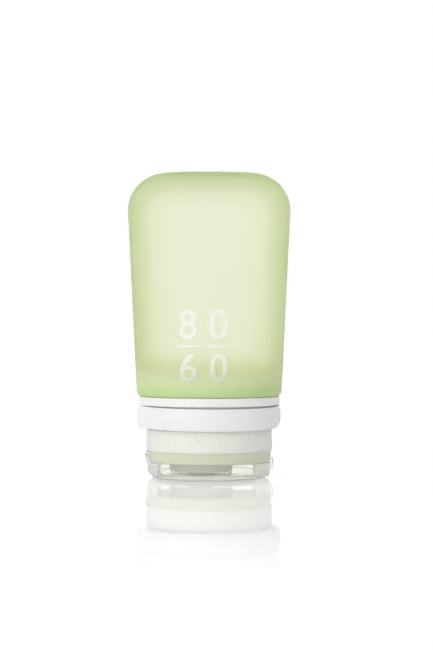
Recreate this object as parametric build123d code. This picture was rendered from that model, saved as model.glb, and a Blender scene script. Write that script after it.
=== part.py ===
from build123d import *
import math
import os

os.makedirs("parts", exist_ok=True)

# A soft travel bottle that stands upside down on its closed flip lid. Lengths are in
# millimetres. The bottle's axis is Z, the lid's outer face is at zero, the lid's hinge
# is at -X and its thumb tab at +X.

# Soft body
body_height = 68.4
body_width = 50.0
body_depth = 43.0
body_wall = 3.0
closed_corner = 11.5
foot_diameter = 44.7
foot_round = 1.7
neck_diameter = 34.8
neck_wall = 2.2
neck_length = 4.65
lip_diameter = 36.3
lip_thickness = 1.65
funnel_rise = 3.0
funnel_widening = 3.4
# The section is round at the foot and squarer at the closed end.
foot_power = 2.0
closed_power = 2.9
section_points = 24
crown_steps = 5
foot_steps = 3

# White collar
collar_height = 9.6
collar_diameter = 43.4
collar_band_height = 2.6
collar_edge_round = 0.3
drum_wall = 1.6
snap_rim = 0.35
snap_rim_height = 0.7
stud_diameter = 3.2
stud_length = 1.25

# Hard sleeve in the soft neck
sleeve_bore = 27.0
sleeve_barb = 0.4
sleeve_barb_height = 1.2
sleeve_above_foot = 1.4
flange_thickness = 2.0
spigot_diameter = 31.2
spigot_edge = 0.4

# Loop that swings on the collar's studs
loop_thickness = 1.1
loop_height = 6.7
loop_edge_set_in = 0.55
loop_edge_rise = 1.9
loop_inner_taper = 0.15
loop_inner_taper_rise = 2.4
loop_end_thickness = 1.9
loop_end_round = 0.6
loop_turn = 15.0
loop_rest_tilt = 1.2

# Screw cap
cap_height = 10.1
cap_bore = 33.2
cap_deck = 1.6
grip_diameter = 38.6
grip_height = 6.4
rib_depth = 0.25
rib_count = 120
rib_shares = (0.0, 0.18, 0.52, 0.7)
band_foot_diameter = 37.6
band_head_diameter = 38.2
spout_diameter = 19.5
spout_bore = 16.0
spout_length = 2.8
spout_offset = 2.5
orifice_diameter = 9.0
orifice_lip = 1.0

# Hinge between cap and lid
hinge_reach = 19.7
hinge_rise = 2.2
knuckle_diameter = 2.3
hinge_pin_diameter = 1.2
barrel_length = 5.6
ear_length = 2.6
ear_foot_drop = 1.6

# Flip lid
lid_diameter = 38.0
lid_height = 5.0
lid_wall = 1.3
lid_plate = 1.4
lid_base_round = 2.8
lid_inner_round = 1.4
plug_diameter = 8.2
plug_wall = 0.9
plug_engagement = 0.8
plug_taper = 0.15
seal_diameter = 19.0
seal_wall = 1.2
latch_width = 10.0
latch_depth = 5.7
latch_drop = 0.5
tab_reach = 19.75
tab_lip = 0.45
tab_rise = 1.2
tab_foot = 1.9
tab_slope = 0.75
tab_angle = 26.0

# Valve, its retainer and the gasket
valve_flange = 1.0
valve_skin = 0.8
valve_dome_diameter = 10.4
valve_dome_rise = 2.1
valve_slit = 0.12
valve_slit_length = 5.4
retainer_wall = 2.35
retainer_chamfer = 0.4
gasket_thickness = 0.92
gasket_bore = 26.6

# Clearances
fit = 0.05
running = 0.06
gasket_gap = 0.04
parting_gap = 0.12
collar_gap = 0.3
band_gap = 0.2
loop_gap = 0.45
hinge_gap = 0.2
seal_gap = 0.1
overrun = 1.0

# Levels
cap_floor = lid_height
cap_top = cap_floor + cap_height
grip_floor = cap_top - grip_height
deck_top = cap_floor + cap_deck
spout_end = cap_floor - spout_length
valve_seat = spout_end + orifice_lip
retainer_floor = valve_seat + valve_flange
gasket_floor = deck_top + gasket_gap
spigot_end = gasket_floor + gasket_thickness + gasket_gap
collar_floor = cap_top + collar_gap
collar_top = collar_floor + collar_height
collar_band_floor = collar_top - collar_band_height
loop_level = collar_band_floor - band_gap - loop_height / 2
lip_floor = collar_top - neck_length
lip_top = lip_floor + lip_thickness
flange_floor = lip_floor - flange_thickness
body_top = collar_top + body_height
widest_level = body_top - closed_corner
foot_top = collar_top + foot_round
hollow_floor = collar_top + body_wall
rim_level = lid_height - parting_gap
hinge_level = cap_floor + hinge_rise

# Radii and places that several pieces share
neck_radius = neck_diameter / 2
neck_bore_radius = neck_radius - neck_wall
lip_radius = lip_diameter / 2
seat_radius = lip_radius + fit
drum_radius = seat_radius + drum_wall
loop_bore_radius = drum_radius + loop_gap
loop_radius = loop_bore_radius + loop_thickness
spout_place = Pos(-spout_offset, 0, 0)
hinge_x = knuckle_diameter / 2 - hinge_reach
knuckle_radius = knuckle_diameter / 2
recess_x = hinge_x + knuckle_radius + hinge_gap
ear_inner = barrel_length / 2 + hinge_gap
recess_half_width = ear_inner + ear_length + hinge_gap


def turned(points):
    """Solid of revolution about Z, from (radius, level) corners."""
    outline = Polyline(*[(radius, 0, level) for radius, level in points], close=True)
    return revolve(make_face(outline), axis=Axis.Z)


def tube(outer, inner, low, high):
    """Round tube between two levels."""
    return turned([(inner, low), (outer, low), (outer, high), (inner, high)])


def disc(radius, low, high):
    """Round plate between two levels."""
    return turned([(0, low), (radius, low), (radius, high), (0, high)])


def block(low_x, high_x, width, low_z, high_z):
    """Straight block across the XZ plane, for webs, recesses and slits."""
    size = Box(high_x - low_x, width, high_z - low_z)
    return Pos((low_x + high_x) / 2, 0, (low_z + high_z) / 2) * size


def bar(radius, length):
    """Round bar along Y on the hinge axis."""
    return Pos(hinge_x, 0, hinge_level) * (Rot(90, 0, 0) * Cylinder(radius, length))


def oval(half_width, half_depth, power, level):
    """Level section of the body, squarer as the power grows."""
    points = []
    for index in range(section_points):
        angle = 2 * math.pi * index / section_points
        across = (abs(math.cos(angle)) / half_width) ** power
        along = (abs(math.sin(angle)) / half_depth) ** power
        reach = (across + along) ** (-1 / power)
        points.append((reach * math.cos(angle), reach * math.sin(angle), level))
    return make_face(Spline(*points, periodic=True))


def wall_section(inset, level):
    """Section of the tapered side, set in by the wall where it bounds the hollow."""
    grown = (level - foot_top) / (widest_level - foot_top)
    half_width = (foot_diameter + grown * (body_width - foot_diameter)) / 2 - inset
    half_depth = (foot_diameter + grown * (body_depth - foot_diameter)) / 2 - inset
    return oval(half_width, half_depth, foot_power + grown * (closed_power - foot_power), level)


def foot_sections():
    """Round sections that make the rounded lower edge of the foot."""
    sections = []
    for step in range(foot_steps + 1):
        turn = math.pi / 2 * step / foot_steps
        radius = foot_diameter / 2 - foot_round * (1 - math.sin(turn))
        sections.append(oval(radius, radius, foot_power, collar_top + foot_round * (1 - math.cos(turn))))
    return sections


def body_form(inset, lower_sections):
    """Straight taper over the lower sections, closed by a crown with one large round."""
    corner = closed_corner - inset
    lean = math.atan((body_width - foot_diameter) / 2 / (widest_level - foot_top))
    crown = []
    for step in range(crown_steps + 1):
        turn = (math.pi / 2 + lean) * step / crown_steps - lean
        drawn_in = inset + corner * (1 - math.cos(turn))
        level = widest_level + corner * math.sin(turn)
        crown.append(oval(body_width / 2 - drawn_in, body_depth / 2 - drawn_in, closed_power, level))
    return loft(lower_sections + crown[:1], ruled=True) + loft(crown)


def make_bottle_body():
    """Soft thick-walled body with its round foot, funnel, neck and lip."""
    outer = body_form(0, foot_sections())
    hollow = body_form(body_wall, [wall_section(body_wall, hollow_floor)])
    funnel_floor = hollow_floor - body_wall / 2
    funnel_top = hollow_floor + funnel_rise
    funnel_radius = neck_bore_radius + funnel_widening
    funnel = turned([
        (0, lip_floor - overrun), (neck_bore_radius, lip_floor - overrun), (neck_bore_radius, funnel_floor),
        (funnel_radius, hollow_floor + overrun / 2), (funnel_radius, funnel_top), (0, funnel_top)])
    neck = turned([
        (0, lip_floor), (lip_radius, lip_floor), (lip_radius, lip_top), (neck_radius, lip_top),
        (neck_radius, collar_top + body_wall / 2), (0, collar_top + body_wall / 2)])
    return outer + neck - hollow - funnel


def make_collar_ring():
    """White collar: visible band, seat for the foot, drum behind the loop, two studs."""
    bore = neck_radius + fit
    outer = collar_diameter / 2
    snap_top = flange_floor - fit
    ring = turned([
        (bore, lip_top), (seat_radius, lip_top), (seat_radius, snap_top),
        (seat_radius - snap_rim, snap_top - snap_rim_height / 2), (seat_radius, snap_top - snap_rim_height),
        (seat_radius, collar_floor), (drum_radius, collar_floor), (drum_radius, collar_band_floor),
        (outer, collar_band_floor), (outer, collar_top), (bore, collar_top)])
    rims = ring.edges().filter_by(GeomType.CIRCLE).filter_by(lambda edge: edge.radius > outer - fit)
    ring = fillet(rims, collar_edge_round)
    reach = drum_radius + stud_length
    stud = Rot(0, 90, 0) * Cylinder(stud_diameter / 2, drum_wall / 2 + stud_length)
    for side in (1, -1):
        middle = side * (reach - (drum_wall / 2 + stud_length) / 2)
        ring += Rot(0, 0, loop_turn) * (Pos(middle, 0, loop_level) * stud)
    return ring


def make_neck_sleeve():
    """Hard sleeve: barbed top in the soft neck, flange under the lip, spigot for the cap."""
    bore = sleeve_bore / 2
    inside = neck_bore_radius - fit
    barb = inside + sleeve_barb
    top = collar_top + body_wall / 2 + sleeve_above_foot
    spigot = spigot_diameter / 2
    return turned([
        (bore, spigot_end), (spigot - spigot_edge, spigot_end), (spigot, spigot_end + spigot_edge),
        (spigot, flange_floor), (lip_radius, flange_floor), (lip_radius, lip_floor), (inside, lip_floor),
        (inside, top - sleeve_barb_height), (barb, top - sleeve_barb_height), (inside, top), (bore, top)])


def make_lock_loop():
    """Half-ring loop with round ends that clip over the collar's studs."""
    half = loop_height / 2
    foot = loop_radius - loop_edge_set_in
    inner_foot = loop_bore_radius + loop_inner_taper
    start = (loop_radius, 0, loop_edge_rise - half)
    section = make_face(Wire([
        Edge.make_line((loop_bore_radius, 0, half), (loop_radius, 0, half)),
        Edge.make_line((loop_radius, 0, half), start),
        TangentArc(start, (foot, 0, -half), tangent=(0, 0, -1)).edge(),
        Edge.make_line((foot, 0, -half), (inner_foot, 0, -half)),
        Edge.make_line((inner_foot, 0, -half), (loop_bore_radius, 0, loop_inner_taper_rise - half)),
        Edge.make_line((loop_bore_radius, 0, loop_inner_taper_rise - half), (loop_bore_radius, 0, half)),
    ]))
    loop = Rot(0, 0, 180) * revolve(section, axis=Axis.Z, revolution_arc=180)
    end_outer = loop_bore_radius + loop_end_thickness
    end = Rot(0, 90, 0) * Cylinder(half, loop_end_thickness)
    end = fillet(end.edges().filter_by(GeomType.CIRCLE).sort_by(Axis.X)[-1], loop_end_round)
    middle = end_outer - loop_end_thickness / 2
    hole_depth = stud_length - loop_gap + running
    hole = Rot(0, 90, 0) * Cylinder(stud_diameter / 2 + running, hole_depth + overrun)
    hole_middle = loop_bore_radius + hole_depth - (hole_depth + overrun) / 2
    for turn in (0, 180):
        loop += Rot(0, 0, turn) * (Pos(middle, 0, 0) * end)
    for turn in (0, 180):
        loop -= Rot(0, 0, turn) * (Pos(hole_middle, 0, 0) * hole)
    tilted = Rot(loop_rest_tilt, 0, 0) * loop
    return Pos(0, 0, loop_level) * (Rot(0, 0, loop_turn) * tilted)


def make_grip():
    """Ribbed ring of the cap's grip, as one toothed outline pushed up."""
    crest = grip_diameter / 2
    root = crest - rib_depth
    points = []
    for index in range(rib_count):
        for share, radius in zip(rib_shares, (root, crest, crest, root)):
            angle = 2 * math.pi * (index + share) / rib_count
            points.append((radius * math.cos(angle), radius * math.sin(angle)))
    teeth = make_face(Polyline(*points, close=True)) - Circle(root - 2 * rib_depth)
    return Pos(0, 0, grip_floor) * extrude(teeth, grip_height)


def make_screw_cap():
    """Screw cap: ribbed grip, smooth band, deck, spout and the hinge's barrel."""
    core_radius = grip_diameter / 2 - 2 * rib_depth
    cap = turned([
        (0, cap_floor), (band_foot_diameter / 2, cap_floor), (band_head_diameter / 2, grip_floor),
        (core_radius, grip_floor), (core_radius, cap_top), (cap_bore / 2, cap_top),
        (cap_bore / 2, deck_top), (0, deck_top)])
    cap += spout_place * disc(spout_diameter / 2, spout_end, cap_floor + cap_deck / 2)
    cap -= spout_place * turned([
        (0, spout_end - overrun), (orifice_diameter / 2, spout_end - overrun), (orifice_diameter / 2, valve_seat),
        (spout_bore / 2, valve_seat), (spout_bore / 2, deck_top + overrun), (0, deck_top + overrun)])
    cap -= block(-hinge_reach - overrun, recess_x, 2 * recess_half_width, cap_floor - overrun, grip_floor)
    cap += bar(knuckle_radius, barrel_length)
    cap += block(hinge_x, recess_x + fit, barrel_length, hinge_level - knuckle_radius, hinge_level + knuckle_radius)
    cap -= bar(hinge_pin_diameter / 2 + running, barrel_length + overrun)
    return cap + make_grip()


def make_cap_gasket():
    """Soft washer between the cap's deck and the spigot's rim."""
    return tube(cap_bore / 2 - fit, gasket_bore / 2, gasket_floor, gasket_floor + gasket_thickness)


def make_drip_valve():
    """Thin silicone dome with a cross slit and a flange that seats on the orifice lip."""
    outer = valve_dome_diameter / 2
    inner = outer - valve_skin
    top = retainer_floor + valve_dome_rise
    valve = turned([
        (inner, valve_seat), (spout_bore / 2 - fit, valve_seat), (spout_bore / 2 - fit, retainer_floor),
        (outer, retainer_floor), (outer - valve_skin, top), (0, top), (0, top - valve_skin),
        (inner - valve_skin, top - valve_skin)])
    slit = block(-valve_slit_length / 2, valve_slit_length / 2, valve_slit, retainer_floor, top + overrun)
    for turn in (45, 135):
        valve -= Rot(0, 0, turn) * slit
    return spout_place * valve


def make_valve_retainer():
    """Hard ring pressed into the spout over the valve's flange."""
    outer = spout_bore / 2 - fit
    inner = outer - retainer_wall
    top = deck_top
    return spout_place * turned([
        (inner, retainer_floor), (outer, retainer_floor), (outer, top - retainer_chamfer),
        (outer - retainer_chamfer, top), (inner, top)])


def make_lid_shell():
    """The lid's plate and wall, with the large round where it meets the table."""
    outer = lid_diameter / 2
    inner = outer - lid_wall
    shell = disc(outer, 0, rim_level)
    shell = fillet(shell.edges().filter_by(GeomType.CIRCLE).sort_by(Axis.Z)[0], lid_base_round)
    room = disc(inner, lid_plate, rim_level + overrun)
    room = fillet(room.edges().filter_by(GeomType.CIRCLE).sort_by(Axis.Z)[0], lid_inner_round)
    return shell - room


def make_thumb_tab():
    """Curved tab outside the lid's wall, whose lip stands clear of the cap's band."""
    root = (lid_diameter - lid_wall) / 2
    lip_root = tab_reach - tab_lip
    shoulder = rim_level - tab_lip
    profile = make_face(Polyline(*[(radius, 0, level) for radius, level in (
        (root, tab_foot), (lid_diameter / 2, tab_foot), (tab_reach, tab_foot + tab_slope),
        (tab_reach, cap_floor + tab_rise), (lip_root, cap_floor + tab_rise), (lip_root, shoulder),
        (root, shoulder))], close=True))
    return Rot(0, 0, -tab_angle / 2) * revolve(profile, axis=Axis.Z, revolution_arc=tab_angle)


def make_flip_lid():
    """Clear flip lid with plug, seal ring, latch block, thumb tab and hinge ears."""
    lid = make_lid_shell() + make_thumb_tab()
    plate_in = lid_plate / 2
    plug_top = spout_end + plug_engagement
    plug = plug_diameter / 2
    lid += spout_place * turned([
        (plug - plug_wall, plate_in), (plug, plate_in), (plug, spout_end),
        (plug - plug_taper, plug_top), (plug - plug_wall, plug_top)])
    seal = seal_diameter / 2
    lid += spout_place * tube(seal, seal - seal_wall, plate_in, spout_end - seal_gap)
    latch_end = lid_diameter / 2 - lid_wall / 2
    lid += block(latch_end - latch_depth - lid_wall / 2, latch_end, latch_width, plate_in, rim_level - latch_drop)
    ear_middle = ear_inner + ear_length / 2
    pin = bar(hinge_pin_diameter / 2, 2 * ear_inner + ear_length)
    foot = rim_level - ear_foot_drop
    ear = bar(knuckle_radius, ear_length)
    ear += block(hinge_x - knuckle_radius, hinge_x + knuckle_radius, ear_length, rim_level - lid_wall, hinge_level)
    gusset = Polyline((hinge_x - knuckle_radius, 0, rim_level), (hinge_x + knuckle_radius, 0, rim_level),
                      (hinge_x + knuckle_radius, 0, foot), (hinge_x, 0, foot - ear_foot_drop / 2), close=True)
    ear += extrude(make_face(gusset), ear_length / 2, both=True)
    for side in (1, -1):
        lid += Pos(0, side * ear_middle, 0) * ear
    return lid + pin


pieces = {
    "bottle_body": make_bottle_body,
    "collar_ring": make_collar_ring,
    "neck_sleeve": make_neck_sleeve,
    "lock_loop": make_lock_loop,
    "screw_cap": make_screw_cap,
    "cap_gasket": make_cap_gasket,
    "drip_valve": make_drip_valve,
    "valve_retainer": make_valve_retainer,
    "flip_lid": make_flip_lid,
}

for name, make in pieces.items():
    export_step(make(), f"parts/{name}.step")
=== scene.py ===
import math
from types import SimpleNamespace

import bpy
from mathutils import Matrix, Vector


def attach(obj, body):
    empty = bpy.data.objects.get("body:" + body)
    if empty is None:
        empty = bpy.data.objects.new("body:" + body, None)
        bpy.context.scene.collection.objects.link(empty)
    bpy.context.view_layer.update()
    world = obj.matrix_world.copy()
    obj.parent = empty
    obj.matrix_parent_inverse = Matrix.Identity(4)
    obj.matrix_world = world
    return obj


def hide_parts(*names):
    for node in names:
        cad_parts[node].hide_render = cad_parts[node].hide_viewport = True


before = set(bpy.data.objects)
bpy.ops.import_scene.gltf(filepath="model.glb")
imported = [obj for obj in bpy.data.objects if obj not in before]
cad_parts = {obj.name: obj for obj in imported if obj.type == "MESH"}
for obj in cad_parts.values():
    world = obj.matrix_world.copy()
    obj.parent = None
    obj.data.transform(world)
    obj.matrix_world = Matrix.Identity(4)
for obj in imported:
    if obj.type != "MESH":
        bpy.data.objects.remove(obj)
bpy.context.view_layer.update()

bl_info = {
    "name": "Travel Silicone Bottle",
    "version": (1, 0, 0),
    "blender": (4, 5, 0),
    "location": "3D View > Sidebar > Bottle",
    "description": "Models a soft travel bottle with its collar, loop, screw cap and flip lid",
    "category": "Add Mesh",
}

# Outlines are drawn in millimetres, the scene is in metres.
MM = 0.001
# Gaps in millimetres between pieces that touch, and between pieces that slide in or turn round each other.
TOUCH_GAP = 0.03
SLIDE_GAP = 0.05
TURN_GAP = 0.06
# Turn of the loop's studs from the lid's hinge, about the bottle's axis, in degrees.
STUD_TURN = 15.0


def linear(hex_colour):
    """Linear colour from an sRGB hex value."""
    channels = []
    for shift in (16, 8, 0):
        share = (hex_colour >> shift & 255) / 255
        channels.append(share / 12.92 if share <= 0.04045 else ((share + 0.055) / 1.055) ** 2.4)
    return (*channels, 1.0)


def length(name, description, millimetres):
    """Size that a user can change, given here in millimetres and kept in metres."""
    return bpy.props.FloatProperty(
        name=name, description=description, default=millimetres * MM, unit="LENGTH", precision=5)


def colour(name, description, hex_colour):
    """Colour that a user can change, given here as an sRGB hex value."""
    return bpy.props.FloatVectorProperty(
        name=name, description=description, default=linear(hex_colour), size=4, subtype="COLOR", min=0.0, max=1.0)


class BottleSizes(bpy.types.PropertyGroup):
    """Sizes of the bottle's pieces."""

    body_width: length("Body width", "Widest part of the soft body, across", 50.0)
    body_depth: length("Body depth", "Widest part of the soft body, front to back", 43.0)
    body_top: length("Body top", "Level of the closed end", 93.4)
    body_wall: length("Body wall", "Thickness of the soft wall", 3.0)
    closed_corner: length("Closed corner", "Large round of the closed end", 11.5)
    foot_diameter: length("Foot diameter", "Round foot that sits on the collar", 44.7)
    foot_rise: length("Foot rise", "Height of the foot below the body's taper", 1.7)
    neck_diameter: length("Neck diameter", "Outside of the soft neck", 34.8)
    figure_relief: length("Figure relief", "How far the moulded figures stand proud", 0.3)
    collar_diameter: length("Collar diameter", "Outside of the collar's band", 43.4)
    collar_top: length("Collar top", "Level where the body meets the collar", 25.0)
    lip_top: length("Lip top", "Level of the collar's step over the soft lip", 22.0)
    snap_diameter: length("Snap diameter", "Inside of the collar over the sleeve's flange", 36.4)
    drum_diameter: length("Drum diameter", "Outside of the collar behind the loop", 39.6)
    drum_low: length("Drum low", "Level of the collar's lower edge", 15.4)
    stud_diameter: length("Stud diameter", "Pivot studs of the loop", 3.2)
    sleeve_bore: length("Sleeve bore", "Passage through the sleeve", 27.0)
    sleeve_diameter: length("Sleeve diameter", "Outside of the sleeve in the soft neck", 30.3)
    sleeve_top: length("Sleeve top", "Level of the sleeve's end in the neck", 27.9)
    flange_diameter: length("Flange diameter", "Sleeve's flange under the soft lip", 36.3)
    flange_low: length("Flange low", "Level of the flange's lower face", 18.35)
    flange_top: length("Flange top", "Level of the flange's upper face", 20.35)
    spigot_diameter: length("Spigot diameter", "Root of the sleeve's thread", 31.2)
    spigot_rim: length("Spigot rim", "Level of the spigot's rim", 7.6)
    loop_bore: length("Loop bore", "Inside of the loop", 40.5)
    loop_height: length("Loop height", "Height of the loop's band", 6.7)
    loop_thickness: length("Loop thickness", "Thickness of the loop's band", 1.1)
    loop_level: length("Loop level", "Level of the loop's pivots", 18.85)
    grip_diameter: length("Grip diameter", "Outside of the cap's ribs", 38.6)
    rib_depth: length("Rib depth", "Depth of the grooves between the ribs", 0.14)
    cap_top: length("Cap top", "Level of the cap's open edge", 15.1)
    cap_bore: length("Cap bore", "Inside of the cap", 33.2)
    cap_face: length("Cap face", "Level of the cap's outer face", 5.0)
    deck_level: length("Deck level", "Level of the cap's inner face", 6.6)
    band_top: length("Band top", "Level where the cap's smooth band ends", 8.25)
    lid_diameter: length("Lid diameter", "Outside of the flip lid", 38.0)
    lid_rim: length("Lid rim", "Level of the closed lid's rim", 4.88)
    lid_plate: length("Lid plate", "Thickness of the lid's plate", 1.4)
    lid_wall: length("Lid wall", "Thickness of the lid's wall", 1.3)
    hinge_reach: length("Hinge reach", "Distance of the hinge from the axis", 18.55)
    hinge_level: length("Hinge level", "Level of the hinge", 7.2)
    hinge_width: length("Hinge width", "Across both ears", 11.2)
    barrel_width: length("Barrel width", "Length of the barrel between the ears", 5.6)
    barrel_diameter: length("Barrel diameter", "Outside of the barrel and the ears", 2.3)
    pin_diameter: length("Pin diameter", "Hinge pin", 1.2)
    spout_offset: length("Spout offset", "Distance of the spout from the axis", 2.5)
    spout_diameter: length("Spout diameter", "Outside of the spout", 19.5)
    spout_face: length("Spout face", "Level of the spout's outer face", 2.2)
    orifice_diameter: length("Orifice diameter", "Opening of the spout", 9.0)
    seat_diameter: length("Seat diameter", "Bore that holds the valve and its ring", 16.0)
    seat_level: length("Seat level", "Level that the valve rests on", 3.2)


class BottleColours(bpy.types.PropertyGroup):
    """Colours of the bottle's materials."""

    silicone: colour("Silicone", "Frosted silicone of the body's wall", 0xFFFCFE)
    # Painted shade: the next two colours are the same stock as the silicone above, painted darker and greener towards
    # the foot, for light that has passed through the thick foot.
    painted_low_shade: colour("Low silicone", "The same stock just above the foot", 0xFAFCE0)
    painted_foot_shade: colour("Foot silicone", "The same stock in the thick foot", 0xDDF2B2)
    white: colour("White", "Moulded collar and loop", 0xF0F0EE)
    natural: colour("Natural", "Unpigmented cap and sleeve", 0xF0F2EA)
    # Painted shade: the same stock, painted darker and greener where the cap's solid deck lies behind the wall.
    painted_deck_shade: colour("Thick natural", "The same stock at the cap's solid deck", 0xD9DFC8)
    clear: colour("Clear", "Clear flip lid", 0xFEFFFB)
    seal: colour("Seal", "Gasket and valve", 0xE8EAE2)


class StageSettings(bpy.types.PropertyGroup):
    """Camera and light around the bottle."""

    camera_distance: length("Camera distance", "From the bottle's axis", 568.0)
    camera_height: length("Camera height", "Above the floor", 46.9)
    camera_side: length("Camera side", "Offset that frames the bottle as in the photograph", 2.25)
    camera_angle: bpy.props.FloatProperty(
        name="Camera angle", description="Vertical field of view", default=math.radians(20.03), subtype="ANGLE")
    key_power: bpy.props.FloatProperty(
        name="Key power", description="Power of the large lamp on the left", default=9.2, unit="POWER")
    fill_power: bpy.props.FloatProperty(
        name="Fill power", description="Power of the lamp on the right", default=0.1, unit="POWER")
    room_strength: bpy.props.FloatProperty(
        name="Room strength", description="Even light from all sides", default=0.63)


def millimetres(group):
    """Lengths of a property group in millimetres, as the outlines are drawn."""
    return SimpleNamespace(**{name: getattr(group, name) / MM for name in type(group).__annotations__})


def clear_selection():
    """Leaves edit mode with nothing selected."""
    if bpy.context.mode != "OBJECT":
        bpy.ops.object.mode_set(mode="OBJECT")
    bpy.ops.object.select_all(action="DESELECT")


def pick(piece):
    """Selects one piece alone."""
    clear_selection()
    bpy.context.view_layer.objects.active = piece
    piece.select_set(True)


def open_mesh(piece, selection="SELECT"):
    """Opens a piece for editing, with all of it selected or none."""
    pick(piece)
    bpy.ops.object.mode_set(mode="EDIT")
    bpy.ops.mesh.select_all(action=selection)


def settle():
    """Puts the new object's place into its mesh, and opens it for editing with all selected."""
    bpy.ops.object.transform_apply(location=True, rotation=True, scale=True)
    bpy.ops.object.mode_set(mode="EDIT")
    bpy.ops.mesh.select_all(action="SELECT")


def close_mesh():
    """Merges doubles, turns the faces outwards and leaves edit mode."""
    bpy.ops.mesh.select_all(action="SELECT")
    bpy.ops.mesh.remove_doubles(threshold=0.002 * MM)
    bpy.ops.mesh.normals_make_consistent(inside=False)
    bpy.ops.object.mode_set(mode="OBJECT")


def rounded(corners, steps=4):
    """Outline points, with every (radius, level, round) corner turned into an arc."""
    points = []
    for index, (radius, level, *rounds) in enumerate(corners):
        if not rounds:
            points.append((radius, level))
            continue
        here = Vector((radius, level))
        before = (Vector(corners[index - 1][:2]) - here).normalized()
        after = (Vector(corners[(index + 1) % len(corners)][:2]) - here).normalized()
        half = before.angle(after) / 2
        centre = here + (before + after).normalized() * rounds[0] / math.sin(half)
        start = here + before * rounds[0] / math.tan(half) - centre
        end = here + after * rounds[0] / math.tan(half) - centre
        sweep = start.angle_signed(end)
        for step in range(steps + 1):
            turned = Matrix.Rotation(-sweep * step / steps, 2) @ start
            points.append(tuple(centre + turned))
    return points


def lathe(name, outline, sides=128, centre=0.0, closed=True):
    """Round piece: a circle extruded and scaled from point to point of a (radius, level) outline."""
    clear_selection()
    radius, level = outline[0]
    bpy.ops.mesh.primitive_circle_add(
        vertices=sides, radius=radius * MM, location=(centre * MM, 0, level * MM), fill_type="NOTHING")
    piece = bpy.context.object
    piece.name = piece.data.name = name
    settle()
    if not closed:
        bpy.ops.mesh.edge_face_add()
        bpy.ops.mesh.select_mode(type="EDGE")
    for next_radius, next_level in outline[1:] + (outline[:1] if closed else []):
        bpy.ops.mesh.extrude_region_move(TRANSFORM_OT_translate={"value": (0, 0, (next_level - level) * MM)})
        grow = next_radius / radius
        bpy.ops.transform.resize(value=(grow, grow, 1), center_override=(centre * MM, 0, next_level * MM))
        radius, level = next_radius, next_level
    close_mesh()
    return piece


def box(name, low, high, edge_round=0.0):
    """Straight block between two corners, with small rounds on its edges."""
    clear_selection()
    middle = [(a + b) / 2 * MM for a, b in zip(low, high)]
    bpy.ops.mesh.primitive_cube_add(size=1, location=middle, scale=[(b - a) * MM for a, b in zip(low, high)])
    piece = bpy.context.object
    piece.name = piece.data.name = name
    settle()
    if edge_round:
        bpy.ops.mesh.bevel(offset=edge_round * MM, segments=3, affect="EDGES")
    close_mesh()
    return piece


def plate(name, outline, low_y, high_y, edge_round=0.12):
    """Flat plate across Y from an (x, z) outline, with small rounds on its long edges."""
    clear_selection()
    bpy.ops.mesh.primitive_circle_add(vertices=len(outline), radius=MM, fill_type="NGON")
    piece = bpy.context.object
    piece.name = piece.data.name = name
    for vertex, (x, z) in zip(piece.data.vertices, outline):
        vertex.co = (x * MM, low_y * MM, z * MM)
    settle()
    bpy.ops.mesh.extrude_region_move(TRANSFORM_OT_translate={"value": (0, (high_y - low_y) * MM, 0)})
    close_mesh()
    bevel = piece.modifiers.new("Edges", "BEVEL")
    bevel.width = edge_round * MM
    bevel.segments = 2
    bevel.limit_method = "ANGLE"
    bevel.angle_limit = math.radians(60)
    bpy.ops.object.modifier_apply(modifier=bevel.name)
    return piece


def cross_bar(name, radius, low_y, high_y, centre_x=0.0, centre_z=0.0, edge_round=0.15, sides=32):
    """Round bar along Y with rounded ends."""
    bar = lathe(name, rounded([
        (radius * 0.2, low_y), (radius, low_y, edge_round), (radius, high_y, edge_round), (radius * 0.2, high_y)]),
        sides=sides, closed=False)
    bar.data.transform(Matrix.Translation((centre_x * MM, 0, centre_z * MM)) @ Matrix.Rotation(-math.pi / 2, 4, "X"))
    return bar


def thread_ridge(root, crest, turns, start, low=9.3, lead=6.0, steps_per_turn=72, run_out=14):
    """Ridge of one start of a right-handed thread, sunk into the wall and running out at both ends."""
    clear_selection()
    bpy.ops.mesh.primitive_circle_add(vertices=4, radius=MM, fill_type="NOTHING")
    ridge = bpy.context.object
    ridge.name = ridge.data.name = "thread"
    sunk = root + math.copysign(0.25, root - crest)
    for vertex, (radius, level) in zip(ridge.data.vertices, (
            (sunk, low - 0.8), (crest, low - 0.3), (crest, low + 0.3), (sunk, low + 0.8))):
        vertex.co = (radius * MM, 0, level * MM)
    screw = ridge.modifiers.new("Thread", "SCREW")
    screw.angle = math.tau * turns
    screw.screw_offset = lead * turns * MM
    screw.steps = screw.render_steps = round(steps_per_turn * turns)
    screw.use_smooth_shade = False
    bpy.ops.object.modifier_apply(modifier=screw.name)
    last = len(ridge.data.vertices) // 4 - 1
    for vertex in ridge.data.vertices:
        step = vertex.index // 4
        share = max(0.1, min(1.0, step / run_out, (last - step) / run_out))
        radius = math.hypot(vertex.co.x, vertex.co.y)
        grow = (sunk * MM + (radius - sunk * MM) * share) / radius
        vertex.co.x, vertex.co.y = vertex.co.x * grow, vertex.co.y * grow
    open_mesh(ridge)
    bpy.ops.mesh.fill_holes(sides=4)
    close_mesh()
    ridge.data.transform(Matrix.Rotation(math.radians(start), 4, "Z"))
    return in_triangles(ridge)


def cut_or_join(piece, tool, operation, solver="MANIFOLD"):
    """Joins, cuts or keeps the common part of two solids, and uses up the second."""
    pick(piece)
    modifier = piece.modifiers.new(operation.title(), "BOOLEAN")
    modifier.operation = operation
    modifier.solver = solver
    modifier.object = tool
    bpy.ops.object.modifier_apply(modifier=modifier.name)
    if len(piece.data.polygons) == 0:
        raise RuntimeError(f"{operation} left nothing of {piece.name}")
    bpy.data.objects.remove(tool)


def in_triangles(piece):
    """Splits bent faces, so that solids can be cut exactly."""
    open_mesh(piece)
    bpy.ops.mesh.quads_convert_to_tris()
    bpy.ops.object.mode_set(mode="OBJECT")
    return piece


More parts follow.
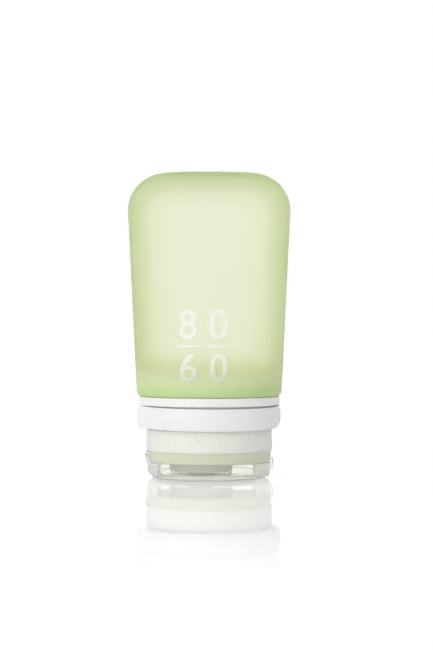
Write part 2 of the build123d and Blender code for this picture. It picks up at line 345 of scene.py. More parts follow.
def soften(piece, angle=32.0):
    """Smooth shading that keeps the hard edges, on a piece that has to be closed."""
    open_mesh(piece, "DESELECT")
    bpy.ops.mesh.select_mode(type="VERT")
    bpy.ops.mesh.select_non_manifold()
    bpy.ops.object.mode_set(mode="OBJECT")
    open_points = sum(vertex.select for vertex in piece.data.vertices)
    if open_points:
        raise RuntimeError(f"{piece.name} has {open_points} open points")
    bpy.ops.object.shade_smooth_by_angle(angle=math.radians(angle))


def hand_over(piece, material, body, slot, *nodes):
    """Finishes a piece: its material, its body and the CAD nodes that it stands for; its slot is not used."""
    piece.data.materials.clear()
    piece.data.materials.append(material)
    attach(piece, body)
    if nodes:
        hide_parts(*nodes)


def node(tree, kind, settings=None, **inputs):
    """Adds a node with its settings, and sets or links its inputs."""
    new = tree.nodes.new(kind)
    for name, value in (settings or {}).items():
        setattr(new, name, value)
    for name, value in inputs.items():
        socket = new.inputs[int(name[1:])] if name[0] == "_" else new.inputs[name.replace("_", " ")]
        if isinstance(value, bpy.types.NodeSocket):
            tree.links.new(value, socket)
        else:
            socket.default_value = value
    return new


def new_material(name):
    """Empty node material and its output."""
    material = bpy.data.materials.new(name)
    material.use_nodes = True
    tree = material.node_tree
    tree.nodes.clear()
    return material, tree, tree.nodes.new("ShaderNodeOutputMaterial")


def finished(material, tree, output, shader, stock=None):
    """Joins a material's surface, and the stock inside it, to its output."""
    tree.links.new(shader.outputs[0], output.inputs["Surface"])
    if stock:
        tree.links.new(stock.outputs["Volume"], output.inputs["Volume"])
    return material


def moulded_grain(tree, size, strength, depth):
    """Fine skin of a mould, as a normal: size is the grain's width and depth its height, in millimetres."""
    place = node(tree, "ShaderNodeTexCoord")
    grain = node(tree, "ShaderNodeTexNoise", Vector=place.outputs["Object"], Scale=1 / (size * MM), Detail=3.0)
    bump = node(tree, "ShaderNodeBump", Strength=strength, Distance=depth * MM, Height=grain.outputs["Fac"])
    return place, grain, bump.outputs["Normal"]


def spread(tree, share, at_none, at_full):
    """Value between two others, by a share from 0 to 1."""
    return node(tree, "ShaderNodeMapRange", Value=share, To_Min=at_none, To_Max=at_full).outputs["Result"]


def ramp(tree, value, low, high, at_low, at_high):
    """Value that changes softly between two distances in millimetres."""
    return node(tree, "ShaderNodeMapRange", {"interpolation_type": "SMOOTHSTEP"}, Value=value,
                From_Min=low * MM, From_Max=high * MM, To_Min=at_low, To_Max=at_high).outputs["Result"]


def by_height(tree, place, low, high, at_low, at_high):
    """Value that changes softly from one level of the closed bottle to another."""
    spot = node(tree, "ShaderNodeSeparateXYZ", _0=place.outputs["Object"])
    return ramp(tree, spot.outputs["Z"], low, high, at_low, at_high)


def maths(tree, operation, *values):
    """Result of a sum on values."""
    return node(tree, "ShaderNodeMath", {"operation": operation},
                **{f"_{index}": value for index, value in enumerate(values)}).outputs[0]


def blend(tree, share, first, second):
    """Mix of two colours."""
    return node(tree, "ShaderNodeMix", {"data_type": "RGBA"}, _0=share, _6=first, _7=second).outputs[2]


def frosted_silicone(colours):
    """Liquid silicone rubber, injection moulded in a blasted mould: green stock under a frosted skin, so that
    light passes but nothing shows through, and the body darkens to green where the wall is seen edge on. The
    stock is slightly milky; towards the foot its colour is painted by height to a darker, deeper green, as painted
    shade for light that has passed through the thick foot. The moulded figures were left polished in the mould: they
    shine, and their paler colour and less clear stock are a painted highlight. The index is set lower than
    silicone's 1.41, because the milky stock hides the dark rims that a clear wall would show."""
    material, tree, output = new_material("frosted moulded silicone")
    place, grain, normal = moulded_grain(tree, 0.35, 0.2, 0.05)
    haze = node(tree, "ShaderNodeTexNoise", Vector=place.outputs["Object"], Scale=1 / (9 * MM), Detail=2.0)
    rough = spread(tree, haze.outputs["Fac"], 0.40, 0.48)
    # Painted highlight: the figures marked as polished get a low roughness, which is real gloss, and a paler colour
    # and a less clear stock, which paint their highlight.
    polished = node(tree, "ShaderNodeAttribute", {"attribute_name": "polished"}).outputs["Fac"]
    skin = spread(tree, polished, rough, 0.14)
    # Painted shade by height: the colour goes from the pale silicone down to a darker green at the foot.
    above_foot = by_height(tree, place, 26.5, 32.0, 0.0, 1.0)
    thin = maths(tree, "MAXIMUM", by_height(tree, place, 31.0, 39.0, 0.0, 1.0), polished)
    tint = blend(tree, above_foot, colours.painted_foot_shade, colours.painted_low_shade)
    wall = by_height(tree, place, 26.5, 37.0, 0.25, 0.94)
    clear = spread(tree, polished, wall, 0.5)
    shader = node(
        tree, "ShaderNodeBsdfPrincipled", Base_Color=blend(tree, thin, tint, colours.silicone),
        Roughness=skin, IOR=1.22, Transmission_Weight=clear, Normal=normal)
    stock = node(tree, "ShaderNodeVolumeAbsorption", Color=(0.82, 0.91, 0.53, 1.0), Density=140.0)
    return finished(material, tree, output, shader, stock)


def white_plastic(colours):
    """White polypropylene, injection moulded with a satin skin: soft highlights and a slight glow in thin edges."""
    material, tree, output = new_material("white moulded polypropylene")
    place, grain, normal = moulded_grain(tree, 0.3, 0.12, 0.03)
    shader = node(
        tree, "ShaderNodeBsdfPrincipled", Base_Color=colours.white,
        Roughness=spread(tree, grain.outputs["Fac"], 0.36, 0.46), IOR=1.49, Subsurface_Weight=0.4,
        Subsurface_Radius=(1.0, 1.0, 0.9), Subsurface_Scale=1.5 * MM, Normal=normal)
    return finished(material, tree, output, shader)


def natural_plastic(colours, clearness=0.07, name="natural moulded polypropylene"):
    """Unpigmented polypropylene, injection moulded: milky, with a satin skin and a soft glow in its thin walls,
    and a darker green cast painted by height where the solid deck lies behind the wall, as painted shade."""
    material, tree, output = new_material(name)
    place, grain, normal = moulded_grain(tree, 0.4, 0.10, 0.03)
    # The painted shade, a darker green cast for the deck, lies between the cap's face and the top of its smooth band.
    thin = maths(
        tree, "ADD", by_height(tree, place, 8.3, 9.0, 0.0, 1.0), by_height(tree, place, 4.7, 5.0, 1.0, 0.0))
    shader = node(
        tree, "ShaderNodeBsdfPrincipled", Base_Color=blend(tree, thin, colours.painted_deck_shade, colours.natural),
        Roughness=spread(tree, grain.outputs["Fac"], 0.30, 0.40), IOR=1.49, Transmission_Weight=clearness,
        Subsurface_Weight=0.5, Subsurface_Radius=(1.0, 1.0, 0.8), Subsurface_Scale=1.5 * MM, Normal=normal)
    return finished(material, tree, output, shader)


def clear_sleeve_plastic(colours):
    """The same stock in the sleeve's thinner, polished wall, which lets more light through to the body's foot."""
    return natural_plastic(colours, 0.6, "clear natural polypropylene")


def clear_plastic(colours):
    """Contact clear polypropylene copolymer, injection moulded in a polished mould: see-through with a milky
    haze and a satin skin at its edge, latch and hinge side, and a faint green tint in thick places. The haze hides
    the dark rims of clear glass, so the index is set lower than the 1.49 of the stock."""
    material, tree, output = new_material("clear moulded copolymer")
    place, grain, normal = moulded_grain(tree, 2.5, 0.05, 0.05)
    gloss = spread(tree, grain.outputs["Fac"], 0.02, 0.05)
    spot = node(tree, "ShaderNodeSeparateXYZ", _0=place.outputs["Object"])
    flat = node(tree, "ShaderNodeVectorMath", {"operation": "MULTIPLY"}, _0=place.outputs["Object"], _1=(1, 1, 0))
    radius = node(tree, "ShaderNodeVectorMath", {"operation": "LENGTH"}, _0=flat.outputs[0])
    # Satin: the plate's rounded edge by radius and level, and the latch and the hinge side by their X.
    edge = maths(tree, "MULTIPLY", ramp(tree, radius.outputs["Value"], 16.5, 17.5, 0.0, 1.0),
                 ramp(tree, spot.outputs["Z"], 0.8, 1.8, 1.0, 0.0))
    latch = maths(tree, "MULTIPLY", ramp(tree, spot.outputs["X"], 13.9, 14.1, 0.0, 1.0),
                  ramp(tree, spot.outputs["X"], 18.5, 18.8, 1.0, 0.0))
    hinge = ramp(tree, spot.outputs["X"], -15.9, -15.3, 1.0, 0.0)
    satin = maths(tree, "MAXIMUM", edge, maths(tree, "MAXIMUM", latch, hinge))
    shader = node(
        tree, "ShaderNodeBsdfPrincipled", Base_Color=colours.clear, Roughness=spread(tree, satin, gloss, 0.4),
        IOR=1.15, Specular_IOR_Level=1.0, Transmission_Weight=spread(tree, satin, 0.96, 0.62), Normal=normal)
    stock = node(tree, "ShaderNodeVolumeAbsorption", Color=(0.68, 0.73, 0.30, 1.0), Density=6.0)
    return finished(material, tree, output, shader, stock)


def seal_silicone(colours):
    """Soft silicone of the gasket and the valve: milky, matt and slightly see-through."""
    material, tree, output = new_material("milky moulded silicone")
    place, grain, normal = moulded_grain(tree, 0.3, 0.15, 0.03)
    shader = node(
        tree, "ShaderNodeBsdfPrincipled", Base_Color=colours.seal,
        Roughness=spread(tree, grain.outputs["Fac"], 0.5, 0.6), IOR=1.41, Transmission_Weight=0.4, Normal=normal)
    return finished(material, tree, output, shader)


MAKERS = {
    "soft_silicone": frosted_silicone,
    "white_plastic": white_plastic,
    "natural_plastic": natural_plastic,
    "clear_plastic": clear_plastic,
    "seal_silicone": seal_silicone,
}
made = {}


def finish_of(slot):
    """Material of a slot, made on first use."""
    if slot not in made:
        made[slot] = MAKERS[slot](bpy.context.scene.bottle_colours)
    return made[slot]


def oval(half_width, half_depth, power, angle):
    """Point of a level section of the body, squarer as the power grows."""
    across = (abs(math.cos(angle)) / half_width) ** power
    along = (abs(math.sin(angle)) / half_depth) ** power
    return Vector((math.cos(angle), math.sin(angle))) * (across + along) ** (-1 / power)


def body_stations(sizes, inset, floor, foot_power=2.0, closed_power=2.9, taper_steps=16, crown_steps=12):
    """Rings of the body's outer or inner form: (half width, level, foot section, closed section, share)."""
    widest = sizes.body_top - sizes.closed_corner
    corner = sizes.closed_corner - inset
    foot_top = sizes.collar_top + sizes.foot_rise
    lean = math.atan((sizes.body_width - sizes.foot_diameter) / 2 / (widest - foot_top))
    grown = (floor - foot_top) / (widest - foot_top)
    foot = (
        (sizes.foot_diameter + grown * (sizes.body_width - sizes.foot_diameter)) / 2 - inset,
        (sizes.foot_diameter + grown * (sizes.body_depth - sizes.foot_diameter)) / 2 - inset, foot_power)
    stations = []
    crown = []
    for step in range(crown_steps + 1):
        turn = (math.pi / 2 + lean) * step / crown_steps - lean
        drawn_in = inset + corner * (1 - math.cos(turn))
        section = (sizes.body_width / 2 - drawn_in, sizes.body_depth / 2 - drawn_in, closed_power)
        crown.append((section[0], widest + corner * math.sin(turn), section, section, 1.0))
    closed_level, closed = crown[0][1], crown[0][2]
    for step in range(taper_steps):
        share = step / taper_steps
        half_width = foot[0] + share * (closed[0] - foot[0])
        stations.append((half_width, floor + share * (closed_level - floor), foot, closed, share))
    inner_rings = [
        (crown[-1][0] * share, crown[-1][1], (*[v * share for v in crown[-1][2][:2]], closed_power), None, 0.0)
        for share in (0.7, 0.35)]
    return stations + crown + inner_rings


def square_up(piece, stations):
    """Moves every ring of the turned body to its own section."""
    for vertex in piece.data.vertices:
        radius = math.hypot(vertex.co.x, vertex.co.y) / MM
        level = vertex.co.z / MM
        angle = math.atan2(vertex.co.y, vertex.co.x)
        near = min(stations, key=lambda ring: abs(ring[0] - radius) + abs(ring[1] - level))
        if abs(near[0] - radius) + abs(near[1] - level) > 0.01:
            continue
        spot = oval(*near[2], angle)
        if near[3]:
            spot = spot.lerp(oval(*near[3], angle), near[4])
        vertex.co.x, vertex.co.y = spot * MM


def rings_of(stations):
    """Outline points of a form's rings."""
    return [(ring[0], ring[1]) for ring in stations]


class BottlePiece:
    """What every operator of this file shares."""

    bl_options = {"REGISTER", "UNDO"}


class BOTTLE_OT_body(BottlePiece, bpy.types.Operator):
    """Soft thick-walled body with its foot, neck and lip, and the moulded figures on its front"""

    bl_idname = "bottle.body"
    bl_label = "Body"

    def execute(self, context):
        sizes = millimetres(context.scene.bottle_sizes)
        top = sizes.collar_top
        foot = sizes.foot_diameter / 2
        foot_top = top + sizes.foot_rise
        neck = sizes.neck_diameter / 2
        neck_bore = sizes.sleeve_diameter / 2 + SLIDE_GAP
        lip = sizes.flange_diameter / 2
        lip_low = sizes.flange_top + TOUCH_GAP
        lip_top = sizes.lip_top - TOUCH_GAP
        foot_low = top + TOUCH_GAP
        floor = top + sizes.body_wall
        foot_outline = rounded([
            (neck_bore, lip_low, 0.2), (lip, lip_low, 0.3), (lip, lip_top, 0.2), (neck, lip_top), (neck, foot_low),
            (foot, foot_low, 1.66), (foot, foot_top)], steps=6)[:-1]
        outside = body_stations(sizes, 0.0, foot_top)
        inside = body_stations(sizes, sizes.body_wall, floor)
        funnel = [(17.75, floor), (neck_bore, floor - sizes.body_wall / 2)]
        body = lathe(
            "silicone_body", rings_of(reversed(inside)) + funnel + foot_outline + rings_of(outside), sides=160,
            closed=False)
        square_up(body, outside + inside)
        skin_rings = body_stations(sizes, -sizes.figure_relief, foot_top)
        skin = lathe("figure_skin", rings_of(skin_rings), sides=160, closed=False)
        square_up(skin, skin_rings)
        figures = in_triangles(self.moulded_figures())
        cut_or_join(figures, in_triangles(skin), "INTERSECT")
        in_triangles(figures)
        in_triangles(body)
        finish = finish_of("soft_silicone")
        for piece in (body, figures):
            for slot in range(2):
                piece.data.materials.append(finish)
        for face in figures.data.polygons:
            face.material_index = 1
        cut_or_join(body, figures, "UNION", "EXACT")
        # Marks the figures' faces as polished, for their real gloss and their painted highlight.
        polished = body.data.attributes.new("polished", "FLOAT", "FACE")
        for face in body.data.polygons:
            polished.data[face.index].value = face.material_index
            face.material_index = 0
        soften(body, 28.0)
        hand_over(body, finish, "bottle", "soft_silicone", "bottle_body")
        return {"FINISHED"}

    def moulded_figures(self):
        """Plain numbers 80 and 60 with a rule between them, as one bundle of straight bars through the wall."""
        bundle = None
        front, back = -26.0, -20.5
        for figure, left, right, low, high in (
                ("8", -8.95, -3.6, 42.5, 51.7), ("0", 0.0, 5.5, 42.5, 51.7),
                ("6", -8.75, -3.4, 29.8, 38.5), ("0", 0.2, 5.6, 29.8, 38.5)):
            clear_selection()
            bpy.ops.object.text_add(rotation=(math.pi / 2, 0, 0))
            text = bpy.context.object
            text.data.body = figure
            text.data.extrude = 0.5
            text.data.offset = 0.015
            text.data.resolution_u = 6
            bpy.ops.object.convert(target="MESH")
            settle()
            close_mesh()
            lowest = [min(v.co[axis] for v in text.data.vertices) for axis in range(3)]
            highest = [max(v.co[axis] for v in text.data.vertices) for axis in range(3)]
            for vertex in text.data.vertices:
                shares = [(vertex.co[a] - lowest[a]) / (highest[a] - lowest[a]) for a in range(3)]
                vertex.co = Vector((
                    left + shares[0] * (right - left), front + shares[1] * (back - front),
                    low + shares[2] * (high - low))) * MM
            bundle = self.bundled(bundle, text)
        for left, right in ((-9.85, -2.5), (-0.4, 6.0)):
            bundle = self.bundled(bundle, box("rule", (left, front, 40.2), (right, back, 40.95)))
        return bundle

    def bundled(self, bundle, bar):
        """Bundle with one more bar."""
        if bundle is None:
            return bar
        pick(bundle)
        bar.select_set(True)
        bpy.ops.object.join()
        return bundle


class BOTTLE_OT_collar(BottlePiece, bpy.types.Operator):
    """White collar with its band, its drum behind the loop and the two pivot studs"""

    bl_idname = "bottle.collar"
    bl_label = "Collar"

    def execute(self, context):
        sizes = millimetres(context.scene.bottle_sizes)
        outer = sizes.collar_diameter / 2
        bore = sizes.neck_diameter / 2 + SLIDE_GAP
        snap = sizes.snap_diameter / 2
        drum = sizes.drum_diameter / 2
        top, low, step = sizes.collar_top, sizes.drum_low, sizes.lip_top
        catch = sizes.flange_low - SLIDE_GAP
        band_low = top - 2.6
        collar = lathe("white_collar", rounded([
            (bore, step, 0.1), (snap, step, 0.1), (snap, catch), (snap - 0.35, catch - 0.35), (snap, catch - 0.7),
            (snap, low, 0.2), (drum, low, 0.3), (drum, band_low, 0.2), (outer, band_low, 0.3), (outer, top, 0.3),
            (bore, top, 0.2)]), sides=160)
        for turn in (STUD_TURN, STUD_TURN + 180):
            stud = cross_bar("stud", sizes.stud_diameter / 2, drum - 0.8, sizes.loop_bore / 2 + 0.8)
            stud.data.transform(
                Matrix.Translation((0, 0, sizes.loop_level * MM)) @ Matrix.Rotation(math.radians(turn - 90), 4, "Z"))
            cut_or_join(collar, stud, "UNION")
        soften(collar)
        hand_over(collar, finish_of("white_plastic"), "bottle", "white_plastic", "collar_ring")
        return {"FINISHED"}


class BOTTLE_OT_loop(BottlePiece, bpy.types.Operator):
    """Half-ring loop with round ends that clip over the collar's studs"""

    bl_idname = "bottle.loop"
    bl_label = "Loop"

    def execute(self, context):
        sizes = millimetres(context.scene.bottle_sizes)
        bore = sizes.loop_bore / 2
        outer = bore + sizes.loop_thickness
        half = sizes.loop_height / 2
        flare, flare_angle = 0.72, 24.0
        loop = lathe("white_loop", rounded([
            (bore, half, 0.12), (outer, half, 0.15), (outer, 1.9 - half), (outer - 0.07, 1.2 - half),
            (outer - 0.25, 0.5 - half), (outer - 0.55, -half, 0.2), (bore + 0.15, -half, 0.1), (bore, 2.4 - half)]),
            sides=192)
        open_mesh(loop)
        bpy.ops.mesh.bisect(plane_co=(0, 0, 0), plane_no=(0, 1, 0), clear_outer=True, use_fill=True)
        close_mesh()
        for vertex in loop.data.vertices:
            radius = math.hypot(vertex.co.x, vertex.co.y) / MM
            from_end = math.degrees(math.asin(min(1.0, abs(vertex.co.y / MM) / radius)))
            share = max(0.0, 1.0 - from_end / flare_angle)
            if radius > outer - 0.6 and share:
                grow = 1 + flare * share * share * (3 - 2 * share) / radius
                vertex.co.x, vertex.co.y = vertex.co.x * grow, vertex.co.y * grow
        for side in (90.0, -90.0):
            end = cross_bar("end", half, bore, bore + 1.9, edge_round=0.6, sides=64)
            end.data.transform(Matrix.Rotation(math.radians(side), 4, "Z"))
            cut_or_join(loop, end, "UNION")
        for side in (90.0, -90.0):
            hole = cross_bar("hole", sizes.stud_diameter / 2 + TURN_GAP, bore - 1.0, bore + 0.8 + TURN_GAP)
            hole.data.transform(Matrix.Rotation(math.radians(side), 4, "Z"))
            cut_or_join(loop, hole, "DIFFERENCE")
        loop.data.transform(
            Matrix.Translation((0, 0, sizes.loop_level * MM)) @ Matrix.Rotation(math.radians(STUD_TURN), 4, "Z")
            @ Matrix.Rotation(math.radians(1.2), 4, "X"))
        soften(loop)
        hand_over(loop, finish_of("white_plastic"), "loop", "white_plastic", "lock_loop")
        return {"FINISHED"}


class BOTTLE_OT_cap(BottlePiece, bpy.types.Operator):
    """Screw cap with its ribbed grip, smooth band, deck, spout and the hinge's barrel"""

    bl_idname = "bottle.cap"
    bl_label = "Screw cap"

    def execute(self, context):
        sizes = millimetres(context.scene.bottle_sizes)
        crest = sizes.grip_diameter / 2
        root = crest - sizes.rib_depth
        top, band, face, deck = sizes.cap_top, sizes.band_top, sizes.cap_face, sizes.deck_level
        bore = sizes.cap_bore / 2
        ribs = 120
        cap = lathe("ribbed_cap", rounded([
            (4.6, face), (crest - 0.5, face, 0.35), (crest - 0.25, band), (crest - 0.04, band + 0.15),
            (crest - 0.04, band + 0.43), (root, band + 0.5), (root, top, 0.25), (bore, top, 0.3), (bore, deck, 0.4),
            (4.6, deck)]), sides=4 * ribs, closed=False)
        open_mesh(cap, "DESELECT")
        bpy.ops.object.mode_set(mode="OBJECT")
        for vertex in cap.data.vertices:
            step = round(math.atan2(vertex.co.y, vertex.co.x) / math.tau * 4 * ribs) % 4
            on_wall = math.hypot(vertex.co.x, vertex.co.y) > (root - 0.02) * MM
            vertex.select = on_wall and vertex.co.z > (band + 0.45) * MM and step in (1, 2)
        bpy.ops.object.mode_set(mode="EDIT")
        bpy.ops.transform.resize(value=(crest / root, crest / root, 1), center_override=(0, 0, 0))
        close_mesh()
        in_triangles(cap)
        outside, orifice, seat = sizes.spout_diameter / 2, sizes.orifice_diameter / 2, sizes.seat_diameter / 2
        spout = lathe("spout", rounded([
            (orifice, sizes.spout_face, 0.15), (outside, sizes.spout_face, 0.35), (outside, deck - 0.6),
            (seat, deck), (seat, sizes.seat_level), (orifice, sizes.seat_level)]), centre=-sizes.spout_offset)
        room = lathe("room", [(seat, sizes.seat_level), (seat, deck + 1.4)], centre=-sizes.spout_offset, closed=False)
        cut_or_join(cap, room, "DIFFERENCE")
        cut_or_join(cap, spout, "UNION")
        for start in (0.0, 180.0):
            cut_or_join(cap, thread_ridge(bore, bore - 0.7, 0.8, start), "UNION")
        hinge, level = -sizes.hinge_reach, sizes.hinge_level
        room_side = sizes.hinge_width / 2 + 0.2
        barrel = sizes.barrel_width / 2
        pin_hole = sizes.pin_diameter / 2 + TURN_GAP
        cut_or_join(cap, box("recess", (-21.0, -room_side, 4.0), (-17.2, room_side, level + 1.4)), "DIFFERENCE")
        cut_or_join(cap, box("web", (hinge, -barrel, level - 1.0), (-17.15, barrel, level + 1.0)), "UNION")
        cut_or_join(cap, cross_bar("barrel", sizes.barrel_diameter / 2, -barrel, barrel, hinge, level), "UNION")
        cut_or_join(cap, cross_bar("pin_hole", pin_hole, -4.0, 4.0, hinge, level, sides=24), "DIFFERENCE")
        soften(cap)
        hand_over(cap, finish_of("natural_plastic"), "cap", "natural_plastic", "screw_cap")
        return {"FINISHED"}


class BOTTLE_OT_lid(BottlePiece, bpy.types.Operator):
    """Clear flip lid with plug, seal ring, latch block, thumb tab, and hinge ears with their pin"""

    bl_idname = "bottle.lid"
    bl_label = "Flip lid"

    def execute(self, context):
        sizes = millimetres(context.scene.bottle_sizes)
        outer = sizes.lid_diameter / 2
        inner = outer - sizes.lid_wall
        rim, plate = sizes.lid_rim, sizes.lid_plate
        lid = lathe("clear_lid", rounded([
            (1.0, 0.0), (outer, 0.0, 2.8), (outer, rim, 0.15), (inner, rim, 0.15), (inner, plate, 1.4),
            (1.0, plate)], steps=8), closed=False)
        spout, face = -sizes.spout_offset, sizes.spout_face
        root = plate / 2
        plug = sizes.orifice_diameter / 2 - 0.4
        seal = sizes.spout_diameter / 2 - 0.25
        wall_middle = outer - sizes.lid_wall / 2
        hinge, level = -sizes.hinge_reach, sizes.hinge_level
        parts = [
            lathe("plug", rounded([
                (3.2, root), (plug, root), (plug, face), (plug - 0.15, face + 0.8, 0.15), (3.2, face + 0.8, 0.15)]),
                sides=64, centre=spout),
            lathe("seal", rounded([
                (seal - 1.2, root), (seal, root), (seal, face - 0.1, 0.15), (seal - 1.2, face - 0.1, 0.15)]),
                centre=spout),
            box("latch", (14.2, -5.0, root), (wall_middle, 5.0, rim - 0.5), 0.15),
            self.thumb_tab(outer, wall_middle, rim - 0.45),
            *[self.ear(side, sizes) for side in (-1, 1)],
            cross_bar("pin", sizes.pin_diameter / 2, -4.3, 4.3, hinge, level, sides=24),
        ]
        for part in parts:
            cut_or_join(lid, part, "UNION")
        soften(lid)
        hand_over(lid, finish_of("clear_plastic"), "lid", "clear_plastic", "flip_lid")
        return {"FINISHED"}

    def thumb_tab(self, wall, root, shelf, low=1.9, top=6.2, reach=0.75, lip=0.45, half_angle=13.0):
        """Curved tab outside the lid's wall, with a lip in front of the cap's band."""
        front = wall + reach
        tab = lathe("tab", rounded([
            (root, low), (wall, low, 0.2), (front, low + reach, 0.4), (front, top, 0.2), (front - lip, top, 0.15),
            (front - lip, shelf, 0.1), (root, shelf)]), sides=192)
        for side in (1, -1):
            turn = math.radians(half_angle) * side
            open_mesh(tab)
            bpy.ops.mesh.bisect(
                plane_co=(0, 0, 0), plane_no=(-math.sin(turn) * side, math.cos(turn) * side, 0), clear_outer=True,
                use_fill=True)
        close_mesh()
        return tab

    def ear(self, side, sizes, steps=12):
        """Hinge ear: a round head on a gusset that grows out of the lid's wall. Its back leans in towards the
        wall, so that it clears the cap's grip when the lid is wide open."""
        low, high = sorted((side * (sizes.barrel_width / 2 + 0.2), side * sizes.hinge_width / 2))
        hinge, level, rim = -sizes.hinge_reach, sizes.hinge_level, sizes.lid_rim
        radius = sizes.barrel_diameter / 2
        turns = [math.pi * step / steps for step in range(steps + 1)]
        head = [(hinge + radius * math.cos(turn), level + radius * math.sin(turn)) for turn in turns]
        foot = [(hinge - 0.4, rim), (hinge, rim - 2.4), (-17.7, rim - 1.6), (-17.7, rim - 0.1), (-17.4, rim)]
        return plate("ear", head + foot, low, high)


class BOTTLE_OT_sleeve(BottlePiece, bpy.types.Operator):
    """Hard sleeve with its barb in the soft neck, its flange and the threaded spigot for the cap"""

    bl_idname = "bottle.sleeve"
    bl_label = "Neck sleeve"

    def execute(self, context):
        sizes = millimetres(context.scene.bottle_sizes)
        bore, spigot, tube = sizes.sleeve_bore / 2, sizes.spigot_diameter / 2, sizes.sleeve_diameter / 2
        flange = sizes.flange_diameter / 2
        rim, low, high, end = sizes.spigot_rim, sizes.flange_low, sizes.flange_top, sizes.sleeve_top
        barb = end - 1.2
        sleeve = lathe("threaded_sleeve", rounded([
            (bore, rim, 0.2), (spigot, rim, 0.35), (spigot, low), (flange, low, 0.2), (flange, high, 0.2),
            (tube, high), (tube, barb), (tube + 0.4, barb, 0.1), (tube, end), (bore, end, 0.2)]), sides=144)
        in_triangles(sleeve)
        for start in (90.0, 270.0):
            cut_or_join(sleeve, thread_ridge(spigot, spigot + 0.7, 1.2, start), "UNION")
        soften(sleeve)
        finish = clear_sleeve_plastic(context.scene.bottle_colours)
        hand_over(sleeve, finish, "bottle", "natural_plastic", "neck_sleeve")
        return {"FINISHED"}


class BOTTLE_OT_seals(BottlePiece, bpy.types.Operator):
    """Soft gasket of the cap, and the slit valve with the hard ring that holds it in the spout"""

    bl_idname = "bottle.seals"
    bl_label = "Gasket and valve"

    def execute(self, context):
        sizes = millimetres(context.scene.bottle_sizes)
        spout, seat, base = -sizes.spout_offset, sizes.seat_diameter / 2, sizes.seat_level
        deck = sizes.deck_level
        bore, rim = sizes.sleeve_bore / 2 - 0.2, sizes.cap_bore / 2 - SLIDE_GAP
        low, high = deck + 0.04, sizes.spigot_rim - 0.04
        gasket = lathe("soft_gasket", rounded([
            (bore, low, 0.15), (rim, low, 0.15), (rim, high, 0.15), (bore, high, 0.15)]))
        soften(gasket)
        hand_over(gasket, finish_of("seal_silicone"), "gasket", "seal_silicone", "cap_gasket")
        low, high, edge = base + 0.02, base + 0.98, seat - 0.07
        valve = lathe("slit_valve", rounded([
            (0.4, base + 2.3), (4.1, base + 2.3, 0.6), (4.4, base + 0.9), (4.4, low, 0.1), (edge, low, 0.15),
            (edge, high, 0.15), (5.2, high, 0.2), (4.9, base + 3.1, 0.9), (0.4, base + 3.1)]), sides=96,
            centre=spout, closed=False)
        in_triangles(valve)
        for turn in (0.0, 90.0):
            slit = box("slit", (-2.7, -0.06, 5.2), (2.7, 0.06, 6.8))
            slit.data.transform(
                Matrix.Translation((spout * MM, 0, 0)) @ Matrix.Rotation(math.radians(turn + 0.01), 4, "Z"))
            cut_or_join(valve, slit, "DIFFERENCE")
        soften(valve)
        hand_over(valve, finish_of("seal_silicone"), "cap", "seal_silicone", "drip_valve")
        low, edge = base + 1.02, seat - SLIDE_GAP
        retainer = lathe("retaining_ring", rounded([
            (5.6, low, 0.1), (edge, low, 0.1), (edge, deck - 0.4, 0.1), (edge - 0.4, deck, 0.1), (5.6, deck, 0.3)]),
            sides=96, centre=spout)
        soften(retainer)
        hand_over(retainer, finish_of("natural_plastic"), "cap", "natural_plastic", "valve_retainer")
        return {"FINISHED"}


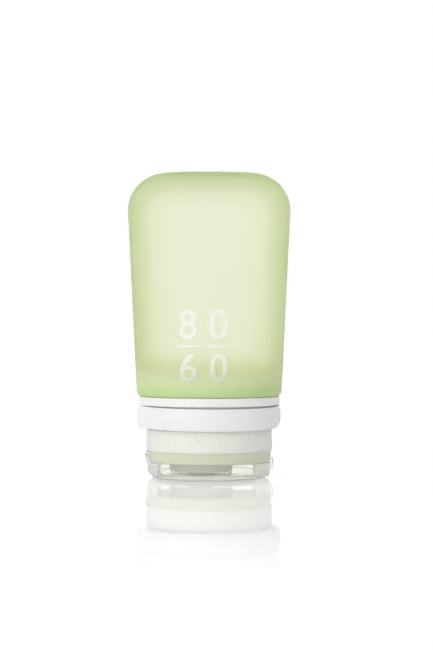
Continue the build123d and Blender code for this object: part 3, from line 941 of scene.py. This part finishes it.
class BOTTLE_OT_stage(BottlePiece, bpy.types.Operator):
    """Pale glossy floor, soft light and the camera at the photograph's angle"""

    bl_idname = "bottle.stage"
    bl_label = "Stage"

    def execute(self, context):
        stage = context.scene.bottle_stage
        context.scene.view_settings.view_transform = "Standard"
        clear_selection()
        bpy.ops.mesh.primitive_plane_add(size=12.0, location=(0, 0, -0.02 * MM))
        floor = bpy.context.object
        floor.name = "floor"
        floor.data.materials.append(self.floor_finish())
        self.lamp("key", stage.key_power, (-0.48, -1.0, 0.42), 1.75)
        self.lamp("fill", stage.fill_power, (0.8, -0.5, 0.35), 0.7)
        self.room(context, stage.room_strength)
        bpy.ops.object.camera_add(
            location=(stage.camera_side, -stage.camera_distance, stage.camera_height), rotation=(math.pi / 2, 0, 0))
        camera = bpy.context.object
        camera.data.sensor_fit = "VERTICAL"
        camera.data.angle = stage.camera_angle
        camera.data.clip_start = 0.01
        camera.data.clip_end = 50.0
        context.scene.camera = camera
        return {"FINISHED"}

    def lamp(self, name, power, place, size):
        """Large soft lamp aimed at the middle of the bottle. It isn't seen through the frosted wall, so that the
        body doesn't clip to white when it stands between the camera and the lamp."""
        bpy.ops.object.light_add(type="AREA", location=place)
        lamp = bpy.context.object
        lamp.name = name
        lamp.data.energy = power
        lamp.data.size = size
        lamp.visible_transmission = False
        lamp.rotation_euler = (Vector((0, 0, 0.045)) - Vector(place)).to_track_quat("-Z", "Y").to_euler()

    def room(self, context, strength):
        """White surroundings for the camera, gloss and clear plastic, and a softer light for the rest, which
        falls off to the right."""
        world = bpy.data.worlds.new("studio")
        context.scene.world = world
        world.use_nodes = True
        tree = world.node_tree
        tree.nodes.clear()
        rays = node(tree, "ShaderNodeLightPath")
        mirrored = maths(tree, "MAXIMUM", rays.outputs["Is Glossy Ray"], rays.outputs["Is Transmission Ray"])
        seen = maths(tree, "MAXIMUM", rays.outputs["Is Camera Ray"], mirrored)
        way = node(tree, "ShaderNodeTexCoord")
        side = node(tree, "ShaderNodeSeparateXYZ", _0=way.outputs["Generated"])
        even = node(tree, "ShaderNodeMapRange", Value=side.outputs["X"], From_Min=-1.0, From_Max=1.0,
                    To_Min=strength * 1.15, To_Max=strength * 0.75)
        level = spread(tree, seen, even.outputs["Result"], 1.0)
        light = node(tree, "ShaderNodeBackground", Color=linear(0xFFFFFF), Strength=level)
        output = node(tree, "ShaderNodeOutputWorld")
        tree.links.new(light.outputs[0], output.inputs["Surface"])

    def floor_finish(self):
        """White acrylic sheet: it keeps a soft shadow and a faint mirror image that fades away from the bottle.
        Seen from below it is left open, so that the lid can be looked at from there too."""
        material, tree, output = new_material("white acrylic sheet")
        place = node(tree, "ShaderNodeTexCoord")
        far = node(tree, "ShaderNodeVectorMath", {"operation": "LENGTH"}, _0=place.outputs["Object"])
        mirror = node(tree, "ShaderNodeMapRange", {"interpolation_type": "SMOOTHSTEP"}, Value=far.outputs["Value"],
                      From_Min=0.13, From_Max=0.24, To_Min=0.50, To_Max=0.0)
        scattered = node(tree, "ShaderNodeLightPath").outputs["Is Diffuse Ray"]
        level = node(tree, "ShaderNodeMapRange", Value=far.outputs["Value"], From_Min=0.3, From_Max=1.5,
                     To_Min=0.83, To_Max=0.87)
        matt = node(tree, "ShaderNodeBsdfDiffuse", Color=spread(tree, scattered, 0.26, 0.9))
        glow = node(tree, "ShaderNodeEmission", Color=linear(0xFFFFFF),
                    Strength=spread(tree, scattered, level.outputs["Result"], 0.0))
        sheet = node(tree, "ShaderNodeAddShader", _0=matt.outputs[0], _1=glow.outputs[0])
        gloss = node(tree, "ShaderNodeBsdfGlossy", Color=linear(0xFFFFFF), Roughness=0.04)
        top = node(tree, "ShaderNodeMixShader", _0=mirror.outputs["Result"], _1=sheet.outputs[0], _2=gloss.outputs[0])
        seen = node(tree, "ShaderNodeNewGeometry")
        below = node(tree, "ShaderNodeBsdfTransparent")
        one_way = node(tree, "ShaderNodeMixShader", _0=seen.outputs["Backfacing"], _1=top.outputs[0],
                       _2=below.outputs[0])
        return finished(material, tree, output, one_way)


OPERATORS = (
    BOTTLE_OT_stage, BOTTLE_OT_body, BOTTLE_OT_collar, BOTTLE_OT_sleeve, BOTTLE_OT_loop, BOTTLE_OT_cap,
    BOTTLE_OT_seals, BOTTLE_OT_lid)


class BOTTLE_PT_panel(bpy.types.Panel):
    """Sizes, colours and pieces of the bottle"""

    bl_idname = "BOTTLE_PT_panel"
    bl_label = "Travel bottle"
    bl_space_type = "VIEW_3D"
    bl_region_type = "UI"
    bl_category = "Bottle"

    def draw(self, context):
        for group in (context.scene.bottle_sizes, context.scene.bottle_colours, context.scene.bottle_stage):
            section = self.layout.box()
            for name in type(group).__annotations__:
                section.prop(group, name)
        for operator in OPERATORS:
            self.layout.operator(operator.bl_idname)


GROUPS = {"bottle_sizes": BottleSizes, "bottle_colours": BottleColours, "bottle_stage": StageSettings}


def register():
    for group in GROUPS.values():
        bpy.utils.register_class(group)
    for name, group in GROUPS.items():
        setattr(bpy.types.Scene, name, bpy.props.PointerProperty(type=group))
    for operator in OPERATORS:
        bpy.utils.register_class(operator)
    bpy.utils.register_class(BOTTLE_PT_panel)


def unregister():
    bpy.utils.unregister_class(BOTTLE_PT_panel)
    for operator in reversed(OPERATORS):
        bpy.utils.unregister_class(operator)
    for name in GROUPS:
        delattr(bpy.types.Scene, name)
    for group in reversed(GROUPS.values()):
        bpy.utils.unregister_class(group)


def main():
    register()
    bpy.ops.bottle.stage()
    bpy.ops.bottle.body()
    bpy.ops.bottle.collar()
    bpy.ops.bottle.sleeve()
    bpy.ops.bottle.loop()
    bpy.ops.bottle.cap()
    bpy.ops.bottle.seals()
    bpy.ops.bottle.lid()


if __name__ == "__main__":
    main()
